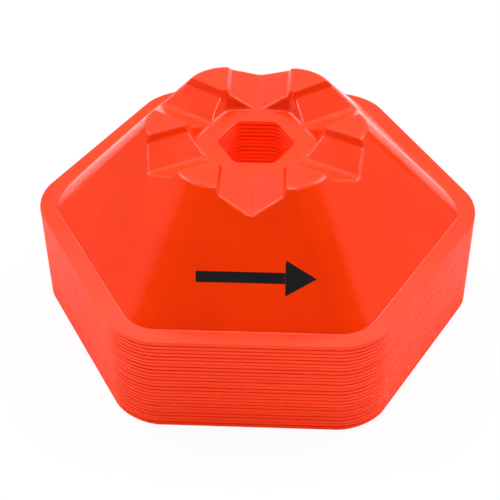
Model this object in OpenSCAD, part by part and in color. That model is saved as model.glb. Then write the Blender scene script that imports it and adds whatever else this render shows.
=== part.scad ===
// Nested stack of hexagonal saucer marker cones.
// Every cone is one thin moulded shell of soft plastic: a flat flange, a six-sided
// skirt, and a sunk crown with six valleys that lead to a hexagonal hole.
// The cones are alike, and each stands a little above the one it is nested on.
// Origin: centre of the stack's footprint, on the ground. +Z up, and the flats
// of the flange face +Y and -Y. Lengths are in millimetres.

/* [Flange] */
// Size of the flange across its flats
flange_across_flats = 180; // [150:1:210]
// Width of the flat flange, from its edge to the foot of the skirt
flange_width = 7.5; // [4:0.5:12]
// Radius of the flange's six corners, seen from above
flange_corner_r = 24; // [14:1:34]

/* [Skirt] */
// Height of the shoulder above the top of the flange
shoulder_h = 45.6; // [41:0.2:53]
// Size of the shoulder across its flats
shoulder_across_flats = 88; // [80:1:96]
// Radius of the skirt's six corners at its foot
foot_corner_r = 18; // [12:1:26]
// Radius of the skirt's six corners at the shoulder
shoulder_corner_r = 15; // [10:1:20]
// Thickness of the shell, measured straight down
wall_z = 1.55; // [1:0.05:1.8]

/* [Crown] */
// Size of the centre hole across its flats
hole_across_flats = 30; // [22:1:36]
// Radius of the hole's six corners
hole_corner_r = 4; // [2:0.5:6]
// Size across flats of the flat ring that lies round the hole
ring_across_flats = 48; // [44:1:54]
// Depth of the ring below the shoulder
ring_drop = 9.8; // [8.4:0.1:11.4]
// Lean of the dish wall that rises from the ring, from the horizontal
dish_lean = 68; // [60:1:78]
// Fall of the raised corners from the shoulder in to the dish
corner_fall = 0.8; // [0.4:0.1:1.2]

/* [Valleys] */
// Width of a valley's flat floor where it leaves the ring
valley_floor_in_w = 5.4; // [4:0.2:8]
// Width of a valley's flat floor where it runs out through the skirt
valley_floor_out_w = 2.8; // [1.6:0.2:4]
// Height of the two creases' feet above the floor at the ring
crease_foot_h = 7.2; // [6.2:0.1:7.8]
// Width of a valley between the feet of its two creases
valley_w = 27.2; // [24:0.2:29]
// Lean of the crease wall at the top of a valley's sides
crease_lean = 64; // [56:1:74]
// Rise of a valley's floor on its way out, in degrees
valley_pitch = 1.9; // [0.5:0.1:3]

/* [Stack] */
// Number of cones in the stack
cone_count = 25; // [2:1:40]
// Vertical gap between one cone and the next
nest_gap = 0.5; // [0.4:0.05:0.8]

/* [Hidden] */
// A hexagon's sides
sides = 6;
// Straight pieces in each rounded corner of the skirt and of the hole
skirt_steps = 5;
hole_steps = 3;
// Reach of every cutter past the surface that it leaves
overrun = 4;
side_angle = 360 / sides;
half_side_angle = side_angle / 2;
flange_apothem = flange_across_flats / 2;
foot_apothem = flange_apothem - flange_width;
shoulder_apothem = shoulder_across_flats / 2;
ring_apothem = ring_across_flats / 2;
ring_z = shoulder_h - ring_drop;
// The skirt's run for each unit that it rises
skirt_run = (foot_apothem - shoulder_apothem) / shoulder_h;
// The skirt's apothem at the ring's height, where the valleys run out
tip_apothem = foot_apothem - ring_z * skirt_run;
// The dish's apothem where its wall meets the raised corners
dish_top_apothem = ring_apothem + ring_drop / tan(dish_lean);
stack_pitch = wall_z + nest_gap;

// Points of a hexagon with rounded corners, its first corner on +X.
function hexagon(apothem, corner_r, steps) = [
    for (side = [0 : sides - 1], step = [0 : steps])
        let (
            corner = side * side_angle,
            turn = corner - half_side_angle + side_angle * step / steps,
            centre = (apothem - corner_r) / cos(half_side_angle)
        )
        [
            centre * cos(corner) + corner_r * cos(turn),
            centre * sin(corner) + corner_r * sin(turn)
        ]
];

// Solid skinned over a stack of outlines that have as many points each, lowest first.
module skin(outlines, heights) {
    count = len(outlines[0]);
    last = len(outlines) - 1;
    points = [
        for (level = [0 : last], point = outlines[level])
            [point.x, point.y, heights[level]]
    ];
    walls = [
        for (level = [1 : last], i = [0 : count - 1])
            let (below = (level - 1) * count, above = level * count, next = (i + 1) % count)
            [below + i, above + i, above + next, below + next]
    ];
    bottom = [for (i = [0 : count - 1]) i];
    top = [for (i = [count - 1 : -1 : 0]) last * count + i];
    polyhedron(points, concat(walls, [bottom, top]));
}

// The skirt's full form up to the raised corners, carried down below the flange's top.
module skirt_form(depth) {
    foot = hexagon(foot_apothem + depth * skirt_run, foot_corner_r, skirt_steps);
    shoulder = hexagon(shoulder_apothem, shoulder_corner_r, skirt_steps);
    inner = hexagon(ring_apothem, ring_apothem / 2, skirt_steps);
    fall = corner_fall * (shoulder_apothem - ring_apothem)
        / (shoulder_apothem - dish_top_apothem);
    skin([foot, shoulder, inner], [-depth, shoulder_h, shoulder_h - fall]);
}

// The dish over the ring, as the cutter that sinks it.
module dish() {
    reach = ring_drop + overrun;
    low = hexagon(ring_apothem, hole_corner_r, hole_steps);
    high = hexagon(ring_apothem + reach / tan(dish_lean), hole_corner_r, hole_steps);
    skin([low, high], [ring_z, ring_z + reach]);
}

// Cross-section of a valley: flat floor, two slopes, and a crease wall over each slope.
function valley_section(floor_w) =
    let (
        half_floor = floor_w / 2,
        half_w = valley_w / 2,
        reach = ring_drop + overrun,
        half_reach = half_w + (reach - crease_foot_h) / tan(crease_lean)
    )
    [
        [-half_floor, 0],
        [half_floor, 0],
        [half_w, crease_foot_h],
        [half_reach, reach],
        [-half_reach, reach],
        [-half_w, crease_foot_h]
    ];

// One valley's cutter, along +X, from the ring out through the skirt.
module valley() {
    run = tip_apothem - ring_apothem;
    taper = (valley_floor_in_w - valley_floor_out_w) / run;
    inner = valley_section(valley_floor_in_w);
    outer = valley_section(valley_floor_out_w - taper * overrun);
    translate([ring_apothem, 0, ring_z])
        rotate([0, -valley_pitch, 0])
            rotate([90, 0, 90])
                skin([inner, outer], [0, run + overrun]);
}

// The form that both faces of the shell follow: the skirt with its dish and valleys.
module shell_form(depth) {
    difference() {
        skirt_form(depth);
        dish();
        for (side = [0 : sides - 1])
            rotate([0, 0, half_side_angle + side * side_angle])
                valley();
    }
}

module flange() {
    translate([0, 0, -wall_z])
        linear_extrude(wall_z)
            polygon(hexagon(flange_apothem, flange_corner_r, skirt_steps));
}

// One cone, with the top of its flange at the origin's height.
module cone() {
    color([0.94, 0.2, 0.07])
        difference() {
            union() {
                flange();
                shell_form(wall_z / 2);
            }
            translate([0, 0, -wall_z])
                shell_form(overrun);
            linear_extrude(shoulder_h)
                polygon(hexagon(hole_across_flats / 2, hole_corner_r, hole_steps));
        }
}

// The cone at its place in the stack, counted from 1 at the ground.
module nested_cone(number) {
    translate([0, 0, wall_z + (number - 1) * stack_pitch])
        cone();
}

for (number = [1 : cone_count])
    nested_cone(number);
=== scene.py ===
"""Nested stack of hexagonal saucer marker cones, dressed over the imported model."""
import logging
import math
import random
from contextlib import contextmanager
from dataclasses import dataclass
from enum import Enum
from typing import Callable, Iterator

import bmesh
import bpy
from mathutils import Matrix, Vector


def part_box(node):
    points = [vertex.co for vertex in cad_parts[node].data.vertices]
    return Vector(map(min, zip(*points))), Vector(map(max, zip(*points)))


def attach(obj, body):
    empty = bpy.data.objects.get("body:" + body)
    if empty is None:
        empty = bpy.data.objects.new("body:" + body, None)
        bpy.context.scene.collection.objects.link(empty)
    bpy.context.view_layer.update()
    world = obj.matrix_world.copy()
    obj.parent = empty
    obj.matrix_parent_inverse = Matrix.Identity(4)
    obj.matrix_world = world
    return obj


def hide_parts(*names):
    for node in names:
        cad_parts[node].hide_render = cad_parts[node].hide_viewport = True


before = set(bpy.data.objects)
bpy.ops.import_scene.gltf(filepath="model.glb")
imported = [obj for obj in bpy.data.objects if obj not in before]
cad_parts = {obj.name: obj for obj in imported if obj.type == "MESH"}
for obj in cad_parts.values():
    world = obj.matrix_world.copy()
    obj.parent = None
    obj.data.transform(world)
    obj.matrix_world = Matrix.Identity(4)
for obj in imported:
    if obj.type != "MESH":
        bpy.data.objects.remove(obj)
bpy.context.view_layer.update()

MM = 0.001
SIDES = 6
SIDE_ANGLE = math.tau / SIDES
HALF_SIDE_ANGLE = SIDE_ANGLE / 2
PLAN_DIGITS = 5

Place = tuple[float, float, float]
Colour = tuple[float, float, float, float]
Socket = bpy.types.NodeSocket

log = logging.getLogger("marker_cones")


def choose_only(piece: bpy.types.Object) -> None:
    """Makes piece the only selected object and the active one.

    Args:
        piece: The object that the next operator works on.
    """
    bpy.ops.object.select_all(action="DESELECT")
    piece.select_set(True)
    bpy.context.view_layer.objects.active = piece


@contextmanager
def editing(piece: bpy.types.Object) -> Iterator[None]:
    """Holds piece in edit mode, with nothing selected at the start.

    Args:
        piece: The mesh object to edit.

    Yields:
        Nothing. Edit mode ends when the block does.
    """
    choose_only(piece)
    bpy.ops.object.mode_set(mode="EDIT")
    bpy.ops.mesh.select_all(action="DESELECT")
    try:
        yield
    finally:
        bpy.ops.object.mode_set(mode="OBJECT")


def select_faces(piece: bpy.types.Object, test: Callable[[Vector, Vector], bool]) -> None:
    """Selects the faces that pass a test, and no others.

    Args:
        piece: The object in edit mode.
        test: Says yes or no for a face's centre and normal.
    """
    bpy.ops.mesh.select_mode(type="FACE")
    sheet = bmesh.from_edit_mesh(piece.data)
    for face in sheet.faces:
        face.select_set(test(face.calc_center_median(), face.normal))
    bmesh.update_edit_mesh(piece.data)


def select_edges(piece: bpy.types.Object, test: Callable[[Vector, Vector], bool]) -> None:
    """Selects the edges that pass a test, and no others.

    Args:
        piece: The object in edit mode.
        test: Says yes or no for an edge's two ends.
    """
    bpy.ops.mesh.select_mode(type="EDGE")
    sheet = bmesh.from_edit_mesh(piece.data)
    for edge in sheet.edges:
        edge.select_set(test(edge.verts[0].co, edge.verts[1].co))
    bmesh.update_edit_mesh(piece.data)


def mark_selected(piece: bpy.types.Object, mark: int) -> None:
    """Gives the selected faces a number that note_finish reads.

    Args:
        piece: The object in edit mode.
        mark: The number, kept as the faces' material index.
    """
    sheet = bmesh.from_edit_mesh(piece.data)
    for face in sheet.faces:
        if face.select:
            face.material_index = mark
    bmesh.update_edit_mesh(piece.data)


def on_plan(point: Vector) -> tuple[float, float]:
    """Gives a point's x and y, rounded so that points over one another are alike."""
    return round(point.x, PLAN_DIGITS), round(point.y, PLAN_DIGITS)


class Fillet(Enum):
    """Kinds of edge on the moulded sheet, with the width each is rounded by."""

    SHARP = 0.0
    CREASE = 0.7 * MM
    OUTLET = 1.0 * MM
    RING = 1.25 * MM
    FLOW = 1.1 * MM
    FOOT = 0.3 * MM
    RIM = 1.3 * MM


@dataclass(frozen=True)
class FaceLean:
    """One kind of face on the sheet, told by two parts of its normal: upwards, and out from the axis."""

    up_from: float
    up_to: float
    out_from: float = -math.inf
    out_to: float = math.inf

    def fits(self, up: float, out: float) -> bool:
        """Says whether a normal with these two parts is of this kind."""
        return self.up_from < up < self.up_to and self.out_from < out < self.out_to


@dataclass
class ConeShell:
    """One saucer cone: flat flange, six-sided skirt, sunk crown with six valleys, hexagonal hole.

    Heights count from the top of the flange. The upper face is made first, as an open
    sheet, and then gets its wall straight down, as the real moulding has. The shares say
    how much of the cut edges' duller finish and of their painted glow a face gets, and
    the marks are the material indices that carry the fillets and the lips from the bevels
    to note_finish. Points closer than weld are one, and near is the room that a test of a
    height leaves. Faces that meet at less than flat_bend are joined, and an edge that bends
    less than least_bend gets no fillet.
    """

    flange_apothem: float = 90 * MM
    flange_width: float = 7.5 * MM
    flange_corner_r: float = 24 * MM
    shoulder_h: float = 45.6 * MM
    shoulder_apothem: float = 44 * MM
    skirt_corner_r: float = 16.5 * MM
    wall_z: float = 1.80 * MM
    hole_apothem: float = 15 * MM
    hole_corner_r: float = 4 * MM
    ring_apothem: float = 24 * MM
    ring_drop: float = 9.8 * MM
    dish_lean: float = math.radians(68)
    dish_corner_r: float = 6 * MM
    corner_fall: float = 0.8 * MM
    floor_in_w: float = 2.4 * MM
    floor_out_w: float = 2.2 * MM
    crease_foot_h: float = 6.0 * MM
    valley_w: float = 26.0 * MM
    crease_lean: float = math.radians(64)
    valley_pitch: float = math.radians(1.9)
    overrun: float = 4 * MM
    skirt_steps: int = 12
    hole_steps: int = 5
    dish_steps: int = 2
    fillet_steps: int = 3
    lip_r: float = 0.32 * MM
    hole_lip_r: float = 0.5 * MM
    weld: float = 0.02 * MM
    near: float = 0.1 * MM
    foot_join: float = 0.5 * MM
    rim_band: float = 0.3 * MM
    flat_bend: float = math.radians(0.6)
    least_bend: float = math.radians(9)
    level_up: float = 0.9
    upright_up: float = 0.5
    dish_wall: FaceLean = FaceLean(0.3, 0.5, out_to=-0.7)
    valley_slope: FaceLean = FaceLean(0.8, 0.95)
    skirt_face: FaceLean = FaceLean(0.6, 0.75, out_from=0.3)
    # Each share also sets how much of the painted edge glow a face gets.
    rim_share: float = 0.45
    lip_share: float = 0.5
    hole_share: float = 1.0
    fillet_mark: int = 1
    lip_mark: int = 2
    normal_weight: int = 60

    @property
    def foot_apothem(self) -> float:
        """Apothem of the skirt where it meets the flange."""
        return self.flange_apothem - self.flange_width

    @property
    def foot_radius(self) -> float:
        """Distance of the skirt's unrounded corners from the axis, at its foot."""
        return self.foot_apothem / math.cos(HALF_SIDE_ANGLE)

    @property
    def hole_radius(self) -> float:
        """Distance of the hole's unrounded corners from the axis."""
        return self.hole_apothem / math.cos(HALF_SIDE_ANGLE)

    @property
    def ring_radius(self) -> float:
        """Distance of the ring's unrounded corners from the axis."""
        return self.ring_apothem / math.cos(HALF_SIDE_ANGLE)

    @property
    def ring_z(self) -> float:
        """Height of the flat ring round the hole."""
        return self.shoulder_h - self.ring_drop

    @property
    def skirt_run(self) -> float:
        """Run of the skirt for each unit that it rises."""
        return (self.foot_apothem - self.shoulder_apothem) / self.shoulder_h

    def corner_offset(self, low: float, high: float, height: float, radius: float) -> float:
        """Works out the bevel offset that gives a block's slanting corners a radius.

        Args:
            low: The block's apothem at its foot.
            high: The block's apothem at its top.
            height: The block's height.
            radius: The radius wanted, seen from above.

        Returns:
            The offset along each side face, in metres.
        """
        slant = math.hypot(low - high, height)
        draw_in = (low - high) * math.tan(HALF_SIDE_ANGLE)
        return radius * math.tan(HALF_SIDE_ANGLE) * math.sin(math.atan2(slant, draw_in))

    def block(self, name: str, low: float, high: float, bottom: float, top: float) -> bpy.types.Object:
        """Adds a tapered hexagonal block with sharp corners.

        Args:
            name: The block's name.
            low: Its apothem at the bottom.
            high: Its apothem at the top.
            bottom: The height of its bottom.
            top: The height of its top.

        Returns:
            The block, with its place in its mesh.
        """
        bpy.ops.object.select_all(action="DESELECT")
        bpy.ops.mesh.primitive_cone_add(
            vertices=SIDES,
            radius1=low / math.cos(HALF_SIDE_ANGLE),
            radius2=high / math.cos(HALF_SIDE_ANGLE),
            depth=top - bottom,
            location=(0, 0, (top + bottom) / 2),
            rotation=(0, 0, HALF_SIDE_ANGLE),
        )
        block = bpy.context.object
        block.name = name
        bpy.ops.object.transform_apply(location=True, rotation=True, scale=True)
        return block

    def round_corners(self, block: bpy.types.Object, offset: float, steps: int, rise: float) -> None:
        """Rounds the corner edges that run up a block's sides.

        Args:
            block: The block to change.
            offset: The bevel's offset.
            steps: Segments in each corner.
            rise: The least height that such an edge climbs.
        """
        with editing(block):
            select_edges(block, lambda a, b: abs(a.z - b.z) > rise)
            bpy.ops.mesh.bevel(offset=offset, segments=steps, affect="EDGES", clamp_overlap=False)

    def skirt_block(self) -> bpy.types.Object:
        """Makes the skirt as a solid block, with the fall of its raised corners on top.

        Returns:
            The block that the dish, the valleys and the hole are cut into.
        """
        body = self.block("cone_form", self.foot_apothem, self.shoulder_apothem, 0, self.shoulder_h)
        inner = self.ring_apothem / self.shoulder_apothem
        dish_top = self.ring_apothem + self.ring_drop / math.tan(self.dish_lean)
        width = self.shoulder_apothem - self.ring_apothem
        fall = self.corner_fall * width / (self.shoulder_apothem - dish_top)
        with editing(body):
            select_faces(body, lambda centre, normal: normal.z > self.level_up)
            bpy.ops.mesh.extrude_region_move()
            bpy.ops.transform.resize(value=(inner, inner, 1), center_override=(0, 0, self.shoulder_h))
            bpy.ops.transform.translate(value=(0, 0, -fall))
        offset = self.corner_offset(
            self.foot_apothem, self.shoulder_apothem, self.shoulder_h, self.skirt_corner_r
        )
        self.round_corners(body, offset, self.skirt_steps, self.shoulder_h / 2)
        return body

    def dish_cutter(self) -> bpy.types.Object:
        """Makes the cutter that sinks the dish.

        Returns:
            A hexagonal block that widens upwards from the ring.
        """
        reach = self.ring_drop + self.overrun
        high = self.ring_apothem + reach / math.tan(self.dish_lean)
        cutter = self.block("dish_cutter", self.ring_apothem, high, self.ring_z, self.ring_z + reach)
        offset = self.corner_offset(self.ring_apothem, high, reach, self.dish_corner_r)
        self.round_corners(cutter, offset, self.dish_steps, reach / 2)
        return cutter

    def hole_cutter(self) -> bpy.types.Object:
        """Makes the cutter of the centre hole's pocket.

        Returns:
            A hexagonal block from under the ring up to the shoulder.
        """
        pocket = self.ring_z - self.overrun
        cutter = self.block("hole_cutter", self.hole_apothem, self.hole_apothem, pocket, self.shoulder_h)
        offset = self.hole_corner_r * math.tan(HALF_SIDE_ANGLE)
        self.round_corners(cutter, offset, self.hole_steps, self.ring_drop / 2)
        return cutter

    def valley_cutter(self) -> bpy.types.Object:
        """Makes one valley's cutter, along +X, from the ring out through the skirt.

        Returns:
            The cutter: flat floor, two slopes, and a crease wall over each slope.
        """
        half_w = self.valley_w / 2
        half_floor = self.floor_in_w / 2
        reach = self.ring_drop + self.overrun
        half_reach = half_w + (reach - self.crease_foot_h) / math.tan(self.crease_lean)
        run = self.foot_apothem - self.ring_z * self.skirt_run - self.ring_apothem
        section = [
            (-half_floor, 0),
            (half_floor, 0),
            (half_w, self.crease_foot_h),
            (half_reach, reach),
            (-half_reach, reach),
            (-half_w, self.crease_foot_h),
        ]
        bpy.ops.object.select_all(action="DESELECT")
        bpy.ops.mesh.primitive_circle_add(vertices=len(section), radius=half_w, fill_type="NGON")
        cutter = bpy.context.object
        cutter.name = "valley_cutter"
        for vertex, (across, up) in zip(cutter.data.vertices, section):
            vertex.co = (0, across, up)
        taper = (self.floor_in_w - self.floor_out_w) / run
        far_w = self.floor_out_w - taper * self.overrun
        with editing(cutter):
            bpy.ops.mesh.select_all(action="SELECT")
            bpy.ops.mesh.extrude_region_move(
                TRANSFORM_OT_translate={"value": (run + self.overrun, 0, 0)}
            )
            bpy.ops.mesh.select_all(action="DESELECT")
            select_edges(cutter, lambda a, b: min(a.x, b.x) > run and max(a.z, b.z) < self.near)
            bpy.ops.transform.resize(value=(1, far_w / self.floor_in_w, 1), center_override=(0, 0, 0))
            bpy.ops.mesh.select_all(action="SELECT")
            bpy.ops.mesh.quads_convert_to_tris()
            bpy.ops.mesh.normals_make_consistent(inside=False)
        place = Matrix.Translation((self.ring_apothem, 0, self.ring_z))
        cutter.data.transform(place @ Matrix.Rotation(-self.valley_pitch, 4, "Y"))
        return cutter

    def cut(self, body: bpy.types.Object, cutter: bpy.types.Object) -> None:
        """Takes a cutter out of the body, and removes the cutter.

        Args:
            body: The block that is cut.
            cutter: The closed block that it loses.
        """
        choose_only(body)
        knife = body.modifiers.new("cut", "BOOLEAN")
        knife.operation = "DIFFERENCE"
        knife.solver = "MANIFOLD"
        knife.object = cutter
        bpy.ops.object.modifier_apply(modifier=knife.name)
        bpy.data.objects.remove(cutter)

    def cut_crown(self, body: bpy.types.Object) -> None:
        """Sinks the dish, the six valleys and the hole into the block.

        Args:
            body: The skirt's block.
        """
        self.cut(body, self.dish_cutter())
        pattern = self.valley_cutter()
        for side in range(SIDES):
            cutter = pattern.copy()
            cutter.data = pattern.data.copy()
            bpy.context.collection.objects.link(cutter)
            cutter.data.transform(Matrix.Rotation(HALF_SIDE_ANGLE + side * SIDE_ANGLE, 4, "Z"))
            self.cut(body, cutter)
        bpy.data.objects.remove(pattern)
        self.cut(body, self.hole_cutter())
        with editing(body):
            bpy.ops.mesh.select_all(action="SELECT")
            bpy.ops.mesh.remove_doubles(threshold=self.weld)
            bpy.ops.mesh.dissolve_limited(angle_limit=self.flat_bend)

    def open_sheet(self, body: bpy.types.Object) -> None:
        """Leaves only the block's upper face, open at its foot and at the hole.

        Args:
            body: The cut block.
        """
        pocket_top = self.ring_z - self.near
        with editing(body):
            select_faces(
                body,
                lambda centre, normal: normal.z < -self.level_up
                or (centre.z < pocket_top and centre.xy.length < self.hole_radius),
            )
            bpy.ops.mesh.delete(type="FACE")

    def add_flange(self, body: bpy.types.Object) -> None:
        """Adds the flat flange round the foot of the skirt, and welds it on.

        Args:
            body: The open sheet.
        """
        with editing(body):
            bpy.ops.mesh.primitive_circle_add(
                vertices=SIDES,
                radius=self.flange_apothem / math.cos(HALF_SIDE_ANGLE),
                rotation=(0, 0, HALF_SIDE_ANGLE),
                fill_type="NGON",
            )
            bpy.ops.mesh.bevel(
                offset=self.flange_corner_r * math.tan(HALF_SIDE_ANGLE),
                segments=self.skirt_steps,
                affect="VERTICES",
                clamp_overlap=False,
            )
            select_faces(body, lambda centre, normal: centre.length < self.near)
            bpy.ops.mesh.inset(thickness=self.flange_width, use_even_offset=True)
            bpy.ops.mesh.delete(type="FACE")
            select_edges(
                body,
                lambda a, b: max(abs(a.z), abs(b.z)) < self.weld
                and max(a.xy.length, b.xy.length) < self.foot_radius,
            )
            bpy.ops.mesh.remove_doubles(threshold=self.foot_join)

    def fillet_of(self, edge: bmesh.types.BMEdge) -> Fillet:
        """Says how one edge of the open sheet is rounded.

        Args:
            edge: An edge of the sheet.

        Returns:
            The fillet that the real moulding has there.
        """
        if not edge.is_manifold or abs(edge.calc_face_angle_signed()) < self.least_bend:
            return Fillet.SHARP
        middle = (edge.verts[0].co + edge.verts[1].co) / 2
        if middle.z < self.near:
            return Fillet.FOOT
        reach = middle.xy.length
        leans = [(face.normal.z, middle.xy.dot(face.normal.xy) / reach) for face in edge.link_faces]
        on_dish = [self.dish_wall.fits(up, out) for up, out in leans]
        if all(on_dish):
            return Fillet.SHARP
        if middle.z < self.ring_z + self.near and reach < self.ring_radius:
            return Fillet.RING
        if any(on_dish) and any(self.valley_slope.fits(up, out) for up, out in leans):
            return Fillet.FLOW
        if any(self.skirt_face.fits(up, out) for up, out in leans):
            return Fillet.RIM if middle.z > self.shoulder_h - self.rim_band else Fillet.OUTLET
        return Fillet.CREASE

    def round_edges(self, body: bpy.types.Object) -> None:
        """Rounds every edge of the sheet by its own fillet.

        The bevel can give its faces a mark only if the body has that many material slots,
        so empty ones are added first.

        Args:
            body: The open sheet.
        """
        widest = max(kind.value for kind in Fillet)
        sheet = bmesh.new()
        sheet.from_mesh(body.data)
        sheet.edges.ensure_lookup_table()
        weights = [self.fillet_of(edge).value / widest for edge in sheet.edges]
        sheet.free()
        body.data.attributes.new("bevel_weight_edge", "FLOAT", "EDGE").data.foreach_set("value", weights)
        while len(body.data.materials) <= self.lip_mark:
            body.data.materials.append(None)
        choose_only(body)
        fillet = body.modifiers.new("fillet", "BEVEL")
        fillet.limit_method = "WEIGHT"
        fillet.width = widest
        fillet.segments = self.fillet_steps
        fillet.use_clamp_overlap = False
        fillet.miter_outer = "MITER_SHARP"
        fillet.material = self.fillet_mark
        bpy.ops.object.modifier_apply(modifier=fillet.name)

    def rim_of(self, body: bpy.types.Object) -> set[tuple[float, float]]:
        """Lists the points of the flange's outer edge, as seen on plan.

        Args:
            body: The open sheet with its fillets.

        Returns:
            The rounded x and y of each point.
        """
        sheet = bmesh.new()
        sheet.from_mesh(body.data)
        points = {
            on_plan(vertex.co)
            for edge in sheet.edges
            if edge.is_boundary
            for vertex in edge.verts
            if abs(vertex.co.z) < self.weld
        }
        sheet.free()
        return points

    def give_wall(self, body: bpy.types.Object, rim: set[tuple[float, float]]) -> None:
        """Gives the sheet its wall, and rounds the lips of the flange and of the hole.

        Args:
            body: The open sheet with its fillets.
            rim: The points of the flange's outer edge.
        """
        with editing(body):
            bpy.ops.mesh.select_all(action="SELECT")
            bpy.ops.mesh.extrude_region_move(
                TRANSFORM_OT_translate={"value": (0, 0, -self.wall_z)}
            )
            bpy.ops.mesh.select_all(action="SELECT")
            bpy.ops.mesh.normals_make_consistent(inside=False)
            select_edges(
                body,
                lambda a, b: abs(a.z - b.z) < self.weld
                and min(abs(a.z), abs(a.z + self.wall_z)) < self.weld
                and {on_plan(a), on_plan(b)} <= rim,
            )
            bpy.ops.mesh.bevel(offset=self.lip_r, segments=self.fillet_steps, affect="EDGES")
            mark_selected(body, self.lip_mark)
            select_edges(
                body,
                lambda a, b: max(abs(a.z - self.ring_z), abs(b.z - self.ring_z)) < self.weld
                and max(a.xy.length, b.xy.length) < self.hole_radius,
            )
            bpy.ops.mesh.bevel(offset=self.hole_lip_r, segments=self.fillet_steps, affect="EDGES")

    def trim_and_glow_share(
        self, mesh: bpy.types.Mesh, face: bpy.types.MeshPolygon, rim: set[tuple[float, float]]
    ) -> float:
        """Says how much of the cut edges' duller finish, and of their painted glow, a face gets.

        Args:
            mesh: The cone's mesh, with the bevels' marks on its faces.
            face: One of its faces.
            rim: The points of the flange's outer edge.

        Returns:
            The share, from 0 on the open faces to 1 inside the hole.
        """
        if face.material_index == self.lip_mark:
            return self.lip_share
        if abs(face.normal.z) > self.upright_up:
            return 0.0
        if face.center.xy.length < self.hole_radius + self.hole_lip_r:
            return self.hole_share
        if all(on_plan(mesh.vertices[vertex].co) in rim for vertex in face.vertices):
            return self.rim_share
        return 0.0

    def note_finish(self, mesh: bpy.types.Mesh, rim: set[tuple[float, float]]) -> None:
        """Notes the fillets, which the plastic gives a painted highlight, and the cut edges, which it makes
        duller and gives a painted glow.

        Args:
            mesh: The finished cone's mesh. Its faces lose the bevels' marks.
            rim: The points of the flange's outer edge.
        """
        rounded = [float(face.material_index == self.fillet_mark) for face in mesh.polygons]
        # These shares set both the duller finish and the painted glow of the cut edges.
        trim_and_glow = [self.trim_and_glow_share(mesh, face, rim) for face in mesh.polygons]
        for name, values in (("fillet", rounded), ("trim_and_glow", trim_and_glow)):
            mesh.attributes.new(name, "FLOAT", "FACE").data.foreach_set("value", values)
        for face in mesh.polygons:
            face.material_index = 0

    def build(self) -> bpy.types.Object:
        """Makes one cone with the top of its flange at the origin's height.

        Returns:
            The finished cone, smooth shaded with normals that follow its large faces.
        """
        body = self.skirt_block()
        self.cut_crown(body)
        self.open_sheet(body)
        self.add_flange(body)
        self.round_edges(body)
        rim = self.rim_of(body)
        self.give_wall(body, rim)
        self.note_finish(body.data, rim)
        choose_only(body)
        bpy.ops.object.shade_smooth()
        even = body.modifiers.new("even", "WEIGHTED_NORMAL")
        even.weight = self.normal_weight
        bpy.ops.object.modifier_apply(modifier=even.name)
        return body


@dataclass
class NodeSheet:
    """Adds nodes to a tree and links them, so that a material reads as a recipe."""

    tree: bpy.types.NodeTree
    colour_inputs: tuple[int, int] = (6, 7)
    colour_output: int = 2

    def add(self, kind: str, **settings: object) -> bpy.types.Node:
        """Adds a node with its settings.

        Args:
            kind: The node's type.
            **settings: Attributes of the node.

        Returns:
            The new node.
        """
        node = self.tree.nodes.new(kind)
        for name, value in settings.items():
            setattr(node, name, value)
        return node

    def feed(self, node: bpy.types.Node, socket: str | int, value: object) -> None:
        """Sets an input, or links it where the value is an output socket.

        Args:
            node: The node that is fed.
            socket: The input's name or number.
            value: A plain value, or another node's output socket.
        """
        if isinstance(value, Socket):
            self.tree.links.new(value, node.inputs[socket])
        else:
            node.inputs[socket].default_value = value

    def read(self, attribute: str) -> Socket:
        """Reads one of the mesh's own attributes, and returns its value's socket."""
        return self.add("ShaderNodeAttribute", attribute_name=attribute).outputs["Fac"]

    def parts(self, vector: Socket) -> bpy.types.NodeOutputs:
        """Takes a vector apart.

        Args:
            vector: The vector's socket.

        Returns:
            The sockets of its x, y and z.
        """
        node = self.add("ShaderNodeSeparateXYZ")
        self.feed(node, 0, vector)
        return node.outputs

    def math(self, operation: str, first: object, second: object = 0.0, clamp: bool = False) -> Socket:
        """Adds a Math node.

        Args:
            operation: The node's operation.
            first: Its first value or socket.
            second: Its second value or socket.
            clamp: Whether the result is held between 0 and 1.

        Returns:
            The result's socket.
        """
        node = self.add("ShaderNodeMath", operation=operation, use_clamp=clamp)
        self.feed(node, 0, first)
        self.feed(node, 1, second)
        return node.outputs[0]

    def ramp(self, value: object, low: float, high: float, start: float = 0.0, end: float = 1.0) -> Socket:
        """Maps a value from low..high to start..end, with a smooth start and end.

        Args:
            value: The socket to map.
            low: Where the change starts.
            high: Where the change ends.
            start: The result at low and below.
            end: The result at high and above.

        Returns:
            The result's socket.
        """
        node = self.add("ShaderNodeMapRange", interpolation_type="SMOOTHSTEP")
        for socket, number in enumerate((value, low, high, start, end)):
            self.feed(node, socket, number)
        return node.outputs[0]

    def noise(self, vector: Socket, scale: float, detail: float) -> Socket:
        """Adds a noise texture.

        Args:
            vector: The coordinates that it follows.
            scale: Its number of waves a metre.
            detail: How many finer layers it has.

        Returns:
            The socket of its value.
        """
        node = self.add("ShaderNodeTexNoise")
        self.feed(node, "Vector", vector)
        self.feed(node, "Scale", scale)
        self.feed(node, "Detail", detail)
        return node.outputs["Fac"]

    def mix(self, factor: object, first: object, second: object) -> Socket:
        """Mixes two colours.

        Args:
            factor: The share of the second one.
            first: The colour at 0.
            second: The colour at 1.

        Returns:
            The mixed colour's socket.
        """
        node = self.add("ShaderNodeMix", data_type="RGBA")
        self.feed(node, "Factor", factor)
        for socket, colour in zip(self.colour_inputs, (first, second)):
            self.feed(node, socket, colour)
        return node.outputs[self.colour_output]

    def bump(self, height: Socket, strength: float, depth: float) -> bpy.types.Node:
        """Adds a Bump node.

        Args:
            height: The socket of the relief.
            strength: How much of it shows.
            depth: Its depth.

        Returns:
            The node, whose Normal input is still free.
        """
        node = self.add("ShaderNodeBump")
        self.feed(node, "Strength", strength)
        self.feed(node, "Distance", depth)
        self.feed(node, "Height", height)
        return node


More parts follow.
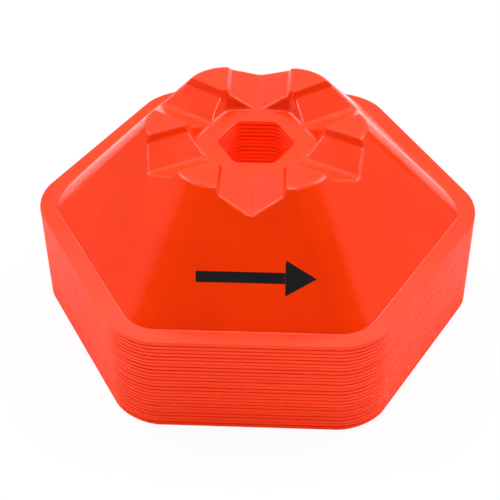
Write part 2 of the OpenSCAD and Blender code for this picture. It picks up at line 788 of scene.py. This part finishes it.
@dataclass(frozen=True)
class DirectionArrow:
    """Plain printed arrow low on the front face, as seen on plan."""

    centre_x: float = 3 * MM
    centre_y: float = -68 * MM
    length: float = 50 * MM
    shaft_h: float = 4.6 * MM
    head_h: float = 15 * MM
    head_l: float = 13 * MM
    slope: float = 0.645
    soft: float = 0.12 * MM
    top_from: float = 0.3
    top_to: float = 0.4

    def under(self, sheet: NodeSheet, value: Socket, limit: float) -> Socket:
        """Gives 1 where a value is under a limit and 0 where it is over, with a soft step.

        Args:
            sheet: The node sheet it is drawn on.
            value: The socket that is tested.
            limit: The place of the step.

        Returns:
            The step's socket.
        """
        return sheet.ramp(value, limit - self.soft, limit + self.soft, 1, 0)

    def mask(self, sheet: NodeSheet, place: Socket, normal: Socket) -> Socket:
        """Draws the arrow's mask from the cone's own coordinates.

        Args:
            sheet: The node sheet it is drawn on.
            place: The Object coordinates.
            normal: The surface's normal in the cone's own axes.

        Returns:
            A socket that is 1 in the print and 0 elsewhere.
        """
        axes = sheet.parts(place)
        along = sheet.math("SUBTRACT", axes[0], self.centre_x)
        across = sheet.math("ABSOLUTE", sheet.math("SUBTRACT", axes[1], self.centre_y))
        up_slope = sheet.math("DIVIDE", across, self.slope)
        shaft_l = self.length - self.head_l
        from_middle = sheet.math("ABSOLUTE", sheet.math("ADD", along, self.head_l / 2))
        shaft = sheet.math(
            "MULTIPLY",
            self.under(sheet, up_slope, self.shaft_h / 2),
            self.under(sheet, from_middle, shaft_l / 2),
        )
        to_tip = sheet.math("SUBTRACT", self.length / 2, along)
        half_head = sheet.math("MULTIPLY", to_tip, self.head_h / 2 / self.head_l)
        past_neck = sheet.math("SUBTRACT", self.length / 2 - self.head_l, along)
        head = sheet.math(
            "MULTIPLY",
            self.under(sheet, sheet.math("SUBTRACT", up_slope, half_head), 0),
            self.under(sheet, past_neck, 0),
        )
        upwards = sheet.ramp(sheet.parts(normal)[2], self.top_from, self.top_to)
        return sheet.math("MULTIPLY", sheet.math("MAXIMUM", shaft, head), upwards)


@dataclass(frozen=True)
class MouldedPlastic:
    """Soft moulded plastic, fluorescent orange-red, with a satin gloss and a fine grain.

    The noise scales are in waves a metre. A span gives the two noise values that a change
    runs between.
    """

    name: str = "cone_plastic"
    colour: Colour = (0.96, 0.042, 0.0006, 1)
    deep: Colour = (0.89, 0.035, 0.0005, 1)
    # A pale pink laid in patches on the fillets: a painted highlight along the rounded edges.
    fillet_highlight_tint: Colour = (0.95, 0.075, 0.03, 1)
    ink: Colour = (0.008, 0.008, 0.010, 1)
    # A faint glow over all of the plastic, though it is no lamp: painted light that lifts the shade
    # everywhere.
    glow: Colour = (0.06, 0.0024, 0.0002, 1)
    # A brighter glow on the cut edges, full in the hole and less on the flange edges and lips: painted light
    # in the well and along the stack's edges.
    painted_edge_glow: Colour = (0.46, 0.0184, 0.0018, 1)
    no_glow: Colour = (0, 0, 0, 1)
    glow_level: float = 1.0
    ior: float = 1.5
    gloss: float = 0.28
    roughness: float = 0.18
    roughness_spread: float = 0.03
    ink_roughness: float = 0.42
    edge_roughness: float = 0.42
    edge_from: float = 0.3
    lip_roughness: float = 0.75
    lip_from: float = 0.46
    lip_to: float = 0.49
    cloud_scale: float = 22
    cloud_detail: float = 3
    cloud_span: tuple[float, float] = (0.35, 0.65)
    batch_mean: float = 0.5
    # Noise and strength of the painted highlight's patches on the fillets.
    highlight_patch_scale: float = 160
    highlight_patch_detail: float = 3
    highlight_patch_span: tuple[float, float] = (0.35, 0.7)
    highlight_least: float = 0.08
    highlight_most: float = 0.4
    haze_scale: float = 60
    haze_detail: float = 4
    haze_span: tuple[float, float] = (0.3, 0.7)
    grain_scale: float = 1400
    grain_strength: float = 0.05
    grain_depth: float = 0.05 * MM
    peel_scale: float = 330
    peel_strength: float = 0.04
    peel_depth: float = 0.2 * MM
    relief_detail: float = 2
    arrow: DirectionArrow = DirectionArrow()

    def tone(self, sheet: NodeSheet, point: Socket) -> Socket:
        """Mixes the plastic's colour: cloudy, a little unlike from cone to cone, and with a pale painted
        highlight in patches on the fillets.

        Args:
            sheet: The material's node sheet.
            point: The Object coordinates.

        Returns:
            The colour's socket.
        """
        cloud = sheet.ramp(sheet.noise(point, self.cloud_scale, self.cloud_detail), *self.cloud_span)
        batch = sheet.math("SUBTRACT", sheet.read("batch"), self.batch_mean)
        drift = sheet.math("ADD", cloud, batch, clamp=True)
        # The fillets get a pale tint in patches: a painted highlight.
        highlight_patches = sheet.noise(point, self.highlight_patch_scale, self.highlight_patch_detail)
        highlight_share = sheet.ramp(highlight_patches, *self.highlight_patch_span, self.highlight_least, self.highlight_most)
        painted_highlight = sheet.math("MULTIPLY", sheet.read("fillet"), highlight_share)
        return sheet.mix(painted_highlight, sheet.mix(drift, self.deep, self.colour), self.fillet_highlight_tint)

    def finish(self, sheet: NodeSheet, point: Socket, edge: Socket, printed: Socket) -> Socket:
        """Works out the roughness: satin on the faces, duller on the print, the cut edges and the lips.

        Args:
            sheet: The material's node sheet.
            point: The Object coordinates.
            edge: The share of the cut edges' duller finish.
            printed: The print's mask.

        Returns:
            The roughness's socket.
        """
        low, high = self.roughness - self.roughness_spread, self.roughness + self.roughness_spread
        satin = sheet.ramp(sheet.noise(point, self.haze_scale, self.haze_detail), *self.haze_span, low, high)
        matt = sheet.math("MULTIPLY", printed, self.ink_roughness - self.roughness)
        cut = sheet.ramp(edge, 0, self.edge_from, 0, self.edge_roughness - self.roughness)
        lip = sheet.ramp(edge, self.lip_from, self.lip_to, 0, self.lip_roughness - self.edge_roughness)
        dull = sheet.math("ADD", matt, sheet.math("ADD", cut, lip))
        return sheet.math("ADD", satin, dull)

    def relief(self, sheet: NodeSheet, point: Socket) -> Socket:
        """Works out the fine grain, and the broader orange peel over it.

        Args:
            sheet: The material's node sheet.
            point: The Object coordinates.

        Returns:
            The normal's socket.
        """
        grain = sheet.noise(point, self.grain_scale, self.relief_detail)
        peel = sheet.noise(point, self.peel_scale, self.relief_detail)
        fine = sheet.bump(grain, self.grain_strength, self.grain_depth)
        broad = sheet.bump(peel, self.peel_strength, self.peel_depth)
        sheet.feed(broad, "Normal", fine.outputs[0])
        return broad.outputs[0]

    def build(self) -> bpy.types.Material:
        """Makes the material's nodes.

        Returns:
            The material.
        """
        material = bpy.data.materials.new(self.name)
        material.use_nodes = True
        sheet = NodeSheet(material.node_tree)
        shader = material.node_tree.nodes["Principled BSDF"]
        place = sheet.add("ShaderNodeTexCoord")
        point = place.outputs["Object"]
        printed = self.arrow.mask(sheet, point, place.outputs["Normal"])
        edge = sheet.read("trim_and_glow")
        # The plastic glows a little everywhere and more on the cut edges: painted light, not lamps.
        painted_glow_colour = sheet.mix(edge, self.glow, self.painted_edge_glow)
        sheet.feed(shader, "IOR", self.ior)
        sheet.feed(shader, "Specular IOR Level", self.gloss)
        sheet.feed(shader, "Emission Strength", self.glow_level)
        sheet.feed(shader, "Base Color", sheet.mix(printed, self.tone(sheet, point), self.ink))
        sheet.feed(shader, "Roughness", self.finish(sheet, point, edge, printed))
        sheet.feed(shader, "Emission Color", sheet.mix(printed, painted_glow_colour, self.no_glow))
        sheet.feed(shader, "Normal", self.relief(sheet, point))
        return material


@dataclass
class ConeStack:
    """The nested cones, each a copy of one shell at its own CAD node's height.

    Every cone but the lowest sits proud of that height by up to twice the play.
    """

    shell: ConeShell
    plastic: MouldedPlastic
    play: float = 0.12 * MM
    seed: int = 25

    def build(self) -> list[bpy.types.Object]:
        """Makes every cone and ties it to its body, node and material slot.

        Returns:
            The cones, lowest first.
        """
        pattern = self.shell.build()
        pattern.data.materials.clear()
        pattern.data.materials.append(self.plastic.build())
        cones = []
        dice = random.Random(self.seed)
        for node in sorted(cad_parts):
            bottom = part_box(node)[0][2]
            seat = self.play + dice.uniform(-self.play, self.play) if cones else 0
            mesh = pattern.data.copy()
            mesh.transform(Matrix.Translation((0, 0, bottom + self.shell.wall_z + seat)))
            batch = [dice.random()] * len(mesh.polygons)
            mesh.attributes.new("batch", "FLOAT", "FACE").data.foreach_set("value", batch)
            cone = bpy.data.objects.new(f"marker_{node}", mesh)
            bpy.context.scene.collection.objects.link(cone)
            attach(cone, node)
            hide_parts(node)
            cones.append(cone)
            log.info("%s stands at %.2f mm", cone.name, bottom / MM)
        bpy.data.objects.remove(pattern)
        return cones


@dataclass(frozen=True)
class Softbox:
    """One area lamp that faces the stack."""

    name: str
    place: Place
    size: tuple[float, float]
    watts: float
    aim: Place = (0, 0, 0.06)

    def build(self) -> None:
        """Adds the lamp to the scene."""
        lamp = bpy.data.lights.new(self.name, "AREA")
        lamp.shape = "RECTANGLE"
        lamp.size, lamp.size_y = self.size
        lamp.energy = self.watts
        holder = bpy.data.objects.new(self.name, lamp)
        bpy.context.scene.collection.objects.link(holder)
        holder.visible_camera = False
        holder.location = self.place
        holder.rotation_euler = (Vector(self.place) - Vector(self.aim)).to_track_quat("Z", "Y").to_euler()


@dataclass
class Studio:
    """White floor, soft lamps and the camera at the photograph's angle.

    The camera's distance and shifts count in units of the flange's apothem.
    """

    softboxes: tuple[Softbox, ...] = (
        Softbox("key", (0, -0.24, 7.58), (2.4, 0.8), 141),
        Softbox("overhead", (0, 0.16, 7.98), (15.2, 3.6), 100),
        Softbox("top_back", (0, 4, 6.38), (6.4, 4), 128),
        Softbox("backdrop", (0, 8.4, 3.98), (17.6, 8), 352),
        Softbox("back_left", (-4.8, 2.8, 5.98), (3.2, 3.2), 275),
        Softbox("back_right", (4.8, 2.8, 5.98), (4, 4), 371),
        Softbox("front_low", (0, -8.8, 0.78), (16, 1.6), 180),
        Softbox("left", (-8, -2.24, 1.18), (4.8, 2.4), 45),
        Softbox("right", (8, -2.24, 1.18), (4.8, 2.4), 19),
        Softbox("left_high", (-8, 1.2, 2.78), (7.2, 4.8), 54),
        Softbox("right_high", (8, 1.2, 2.78), (7.2, 4.8), 61),
    )
    world_level: float = 0.04
    floor_size: float = 24.0
    floor_colour: Colour = (0.86, 0.86, 0.86, 1)
    floor_roughness: float = 0.9
    floor_whiteness: float = 0.93
    white: Colour = (1, 1, 1, 1)
    azimuth: float = math.radians(3.22)
    elevation: float = math.radians(41.78)
    roll: float = math.radians(-0.74)
    unit: float = 90 * MM
    distance: float = 6.5
    shift_right: float = -0.033
    shift_up: float = -0.231
    target_z: float = 50.75 * MM
    focal_px: float = 1272
    frame_px: float = 500
    sensor: float = 36

    def build_floor(self) -> None:
        """Adds the pale floor, which shows the camera a near white and keeps the shadow."""
        bpy.ops.object.select_all(action="DESELECT")
        bpy.ops.mesh.primitive_plane_add(size=self.floor_size)
        floor = bpy.context.object
        floor.name = "floor"
        material = bpy.data.materials.new("floor")
        material.use_nodes = True
        sheet = NodeSheet(material.node_tree)
        matt = material.node_tree.nodes["Principled BSDF"]
        sheet.feed(matt, "Base Color", self.floor_colour)
        sheet.feed(matt, "Roughness", self.floor_roughness)
        glow = sheet.add("ShaderNodeEmission")
        blend = sheet.add("ShaderNodeMixShader")
        path = sheet.add("ShaderNodeLightPath")
        sheet.feed(blend, 0, sheet.math("MULTIPLY", path.outputs["Is Camera Ray"], self.floor_whiteness))
        sheet.feed(blend, 1, matt.outputs[0])
        sheet.feed(blend, 2, glow.outputs[0])
        sheet.feed(material.node_tree.nodes["Material Output"], 0, blend.outputs[0])
        floor.data.materials.append(material)

    def build_world(self) -> None:
        """Lights the room dimly, and shows the camera white."""
        world = bpy.data.worlds.new("studio")
        bpy.context.scene.world = world
        world.use_nodes = True
        sheet = NodeSheet(world.node_tree)
        path = sheet.add("ShaderNodeLightPath")
        back = world.node_tree.nodes["Background"]
        sheet.feed(back, 0, self.white)
        sheet.feed(back, 1, sheet.math("MAXIMUM", path.outputs["Is Camera Ray"], self.world_level))

    def build_camera(self) -> None:
        """Places the camera that was fitted to the photograph."""
        flat = math.cos(self.elevation)
        back = Vector((
            math.sin(self.azimuth) * flat,
            -math.cos(self.azimuth) * flat,
            math.sin(self.elevation),
        ))
        right = Vector((math.cos(self.azimuth), math.sin(self.azimuth), 0))
        up = back.cross(right)
        level = right * math.cos(self.roll) + up * math.sin(self.roll)
        upright = up * math.cos(self.roll) - right * math.sin(self.roll)
        offset = level * self.shift_right + upright * self.shift_up + back * self.distance
        turn = Matrix((level, upright, back)).transposed().to_4x4()
        lens = bpy.data.cameras.new("camera")
        lens.sensor_width = self.sensor
        lens.lens = self.focal_px * self.sensor / self.frame_px
        camera = bpy.data.objects.new("camera", lens)
        bpy.context.scene.collection.objects.link(camera)
        camera.matrix_world = Matrix.Translation(Vector((0, 0, self.target_z)) + offset * self.unit) @ turn
        bpy.context.scene.camera = camera

    def build(self) -> None:
        """Makes the floor, the lamps, the world and the camera."""
        self.build_floor()
        self.build_world()
        for softbox in self.softboxes:
            softbox.build()
        self.build_camera()
        bpy.context.scene.view_settings.view_transform = "Standard"


def main() -> None:
    """Builds the stack and the studio."""
    logging.basicConfig(level=logging.INFO, format="%(name)s: %(message)s")
    cones = ConeStack(ConeShell(), MouldedPlastic()).build()
    log.info("%d cones", len(cones))
    Studio().build()


if __name__ == "__main__":
    main()
